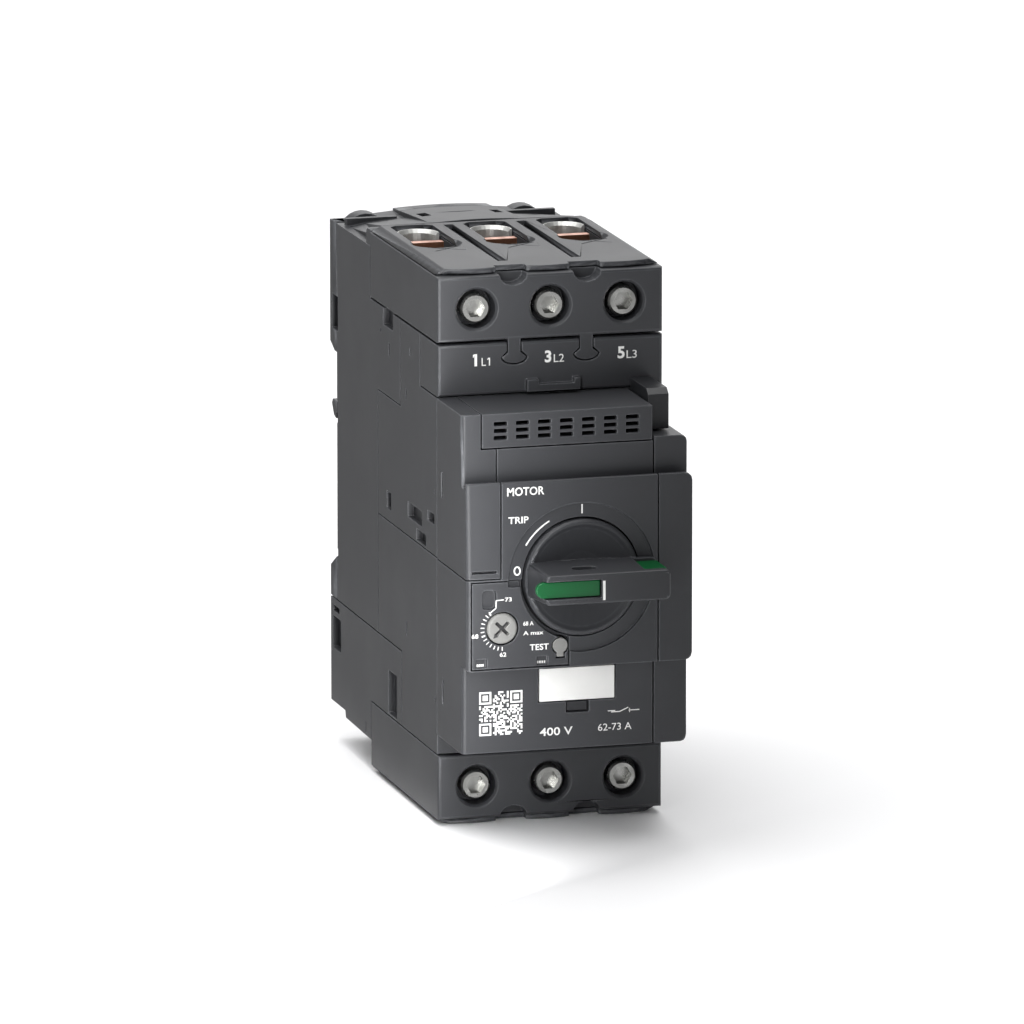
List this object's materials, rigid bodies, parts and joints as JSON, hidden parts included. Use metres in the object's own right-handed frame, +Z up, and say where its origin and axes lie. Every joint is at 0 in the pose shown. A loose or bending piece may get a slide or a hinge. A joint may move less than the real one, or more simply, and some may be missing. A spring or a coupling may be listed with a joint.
{
  "type": "motor protection breaker",
  "caption": "Rail-mounted motor protection breaker with a rotary handle, a current setting dial, a test button and screw clamp terminals at both ends.",
  "frame": {"origin": "middle of the face that seats on a 35 mm mounting rail", "axes": "+X to the right seen from the front, +Y towards the panel behind (the front faces -Y), +Z up"},
  "size_m": [0.055, 0.1371, 0.1334],
  "materials": {
    "charcoal": "fine moulded grain",
    "dark_grey": "smooth moulded",
    "light_grey": "smooth moulded",
    "green": "satin",
    "label_white": "write-on film",
    "zinc_steel": "bright zinc plated",
    "iron": "plain sheet",
    "copper": "bare copper"
  },
  "bodies": {
    "housing": {"rear_base": "charcoal", "rail_foot": "charcoal", "lower_foot": "charcoal", "rear_lower_case": "charcoal", "upper_case": "charcoal", "lower_case": "charcoal", "terminal_cover": "charcoal", "front_cover": "charcoal", "left_cover": "charcoal", "right_cover": "charcoal", "vent_grille": "charcoal", "setting_plate": "charcoal", "upper_terminal_block": "charcoal", "upper_terminal_lid": "charcoal", "lower_terminal_block": "charcoal", "lower_terminal_lid": "charcoal", "side_block": "dark_grey", "label_tab": "dark_grey", "marker_label": "label_white", "switch_frame": "zinc_steel", "latch_spring": "zinc_steel", "line_bar_1": "copper", "load_bar_1": "copper", "trip_coil_1": "copper", "arc_chute_1": "iron", "bimetal_1": "iron", "line_bar_2": "copper", "load_bar_2": "copper", "trip_coil_2": "copper", "arc_chute_2": "iron", "bimetal_2": "iron", "line_bar_3": "copper", "load_bar_3": "copper", "trip_coil_3": "copper", "arc_chute_3": "iron", "bimetal_3": "iron"},
    "handle": {"rotary_handle": "charcoal", "handle_pointer": "green", "knob_shaft": "zinc_steel"},
    "padlock_slide": {"padlock_slide": "green"},
    "setting_dial": {"setting_dial": "light_grey"},
    "test_button": {"test_button": "light_grey"},
    "rail_latch": {"rail_latch": "dark_grey"},
    "contact_carrier": {"contact_carrier": "dark_grey", "contact_bridge_1": "copper", "contact_bridge_2": "copper", "contact_bridge_3": "copper"},
    "trip_bar": {"trip_bar": "dark_grey"},
    "upper_screw_1": {"upper_terminal_screw_1": "zinc_steel"},
    "upper_cage_1": {"upper_clamp_cage_1": "zinc_steel"},
    "upper_screw_2": {"upper_terminal_screw_2": "zinc_steel"},
    "upper_cage_2": {"upper_clamp_cage_2": "zinc_steel"},
    "upper_screw_3": {"upper_terminal_screw_3": "zinc_steel"},
    "upper_cage_3": {"upper_clamp_cage_3": "zinc_steel"},
    "lower_screw_1": {"lower_terminal_screw_1": "zinc_steel"},
    "lower_cage_1": {"lower_clamp_cage_1": "zinc_steel"},
    "lower_screw_2": {"lower_terminal_screw_2": "zinc_steel"},
    "lower_cage_2": {"lower_clamp_cage_2": "zinc_steel"},
    "lower_screw_3": {"lower_terminal_screw_3": "zinc_steel"},
    "lower_cage_3": {"lower_clamp_cage_3": "zinc_steel"}
  },
  "joints": [
    {"name": "knob_turn", "type": "hinge", "parent": "housing", "child": "handle", "pos_m": [0.0006, -0.1173, 0], "axis": [0, 1, 0], "range_deg": [0, 90]},
    {"name": "contacts_close", "type": "slide", "parent": "housing", "child": "contact_carrier", "axis": [0, 1, 0], "range_m": [0, 0.0034]},
    {"name": "padlock_slide_out", "type": "slide", "parent": "handle", "child": "padlock_slide", "axis": [1, 0, 0], "range_m": [0, 0.006]},
    {"name": "setting_dial_turn", "type": "hinge", "parent": "housing", "child": "setting_dial", "pos_m": [-0.0188, -0.1175, -0.0112], "axis": [0, 1, 0], "range_deg": [-45, 105]},
    {"name": "test_button_press", "type": "slide", "parent": "housing", "child": "test_button", "axis": [0, 1, 0], "range_m": [0, 0.0015], "stiffness_N_per_m": 600},
    {"name": "trip_bar_turn", "type": "hinge", "parent": "housing", "child": "trip_bar", "pos_m": [0, -0.0815, -0.004], "axis": [1, 0, 0], "range_deg": [-12, 0]},
    {"name": "rail_latch_slide", "type": "slide", "parent": "housing", "child": "rail_latch", "axis": [0, 0, -1], "range_m": [0, 0.0035], "stiffness_N_per_m": 1500, "deforming": ["latch_spring"]},
    {"name": "upper_screw_1_turn", "type": "hinge", "parent": "housing", "child": "upper_screw_1", "pos_m": [-0.018, -0.0912, 0.0601], "axis": [0, 1, 0], "range_deg": [0, 2880]},
    {"name": "upper_cage_1_slide", "type": "slide", "parent": "housing", "child": "upper_cage_1", "axis": [0, -1, 0], "range_m": [0, 0.008]},
    {"name": "upper_screw_2_turn", "type": "hinge", "parent": "housing", "child": "upper_screw_2", "pos_m": [0, -0.0912, 0.0601], "axis": [0, 1, 0], "range_deg": [0, 2880]},
    {"name": "upper_cage_2_slide", "type": "slide", "parent": "housing", "child": "upper_cage_2", "axis": [0, -1, 0], "range_m": [0, 0.008]},
    {"name": "upper_screw_3_turn", "type": "hinge", "parent": "housing", "child": "upper_screw_3", "pos_m": [0.018, -0.0912, 0.0601], "axis": [0, 1, 0], "range_deg": [0, 2880]},
    {"name": "upper_cage_3_slide", "type": "slide", "parent": "housing", "child": "upper_cage_3", "axis": [0, -1, 0], "range_m": [0, 0.008]},
    {"name": "lower_screw_1_turn", "type": "hinge", "parent": "housing", "child": "lower_screw_1", "pos_m": [-0.018, -0.0912, -0.0545], "axis": [0, 1, 0], "range_deg": [0, 2880]},
    {"name": "lower_cage_1_slide", "type": "slide", "parent": "housing", "child": "lower_cage_1", "axis": [0, -1, 0], "range_m": [0, 0.008]},
    {"name": "lower_screw_2_turn", "type": "hinge", "parent": "housing", "child": "lower_screw_2", "pos_m": [0, -0.0912, -0.0545], "axis": [0, 1, 0], "range_deg": [0, 2880]},
    {"name": "lower_cage_2_slide", "type": "slide", "parent": "housing", "child": "lower_cage_2", "axis": [0, -1, 0], "range_m": [0, 0.008]},
    {"name": "lower_screw_3_turn", "type": "hinge", "parent": "housing", "child": "lower_screw_3", "pos_m": [0.018, -0.0912, -0.0545], "axis": [0, 1, 0], "range_deg": [0, 2880]},
    {"name": "lower_cage_3_slide", "type": "slide", "parent": "housing", "child": "lower_cage_3", "axis": [0, -1, 0], "range_m": [0, 0.008]}
  ],
  "couplings": [
    {"joint": "contacts_close", "follows": "knob_turn", "m_per_rad": 0.002164},
    {"joint": "trip_bar_turn", "follows": "test_button_press", "rad_per_m": -139},
    {"joint": "upper_cage_1_slide", "follows": "upper_screw_1_turn", "m_per_rad": 0.000159},
    {"joint": "upper_cage_2_slide", "follows": "upper_screw_2_turn", "m_per_rad": 0.000159},
    {"joint": "upper_cage_3_slide", "follows": "upper_screw_3_turn", "m_per_rad": 0.000159},
    {"joint": "lower_cage_1_slide", "follows": "lower_screw_1_turn", "m_per_rad": 0.000159},
    {"joint": "lower_cage_2_slide", "follows": "lower_screw_2_turn", "m_per_rad": 0.000159},
    {"joint": "lower_cage_3_slide", "follows": "lower_screw_3_turn", "m_per_rad": 0.000159}
  ]
}
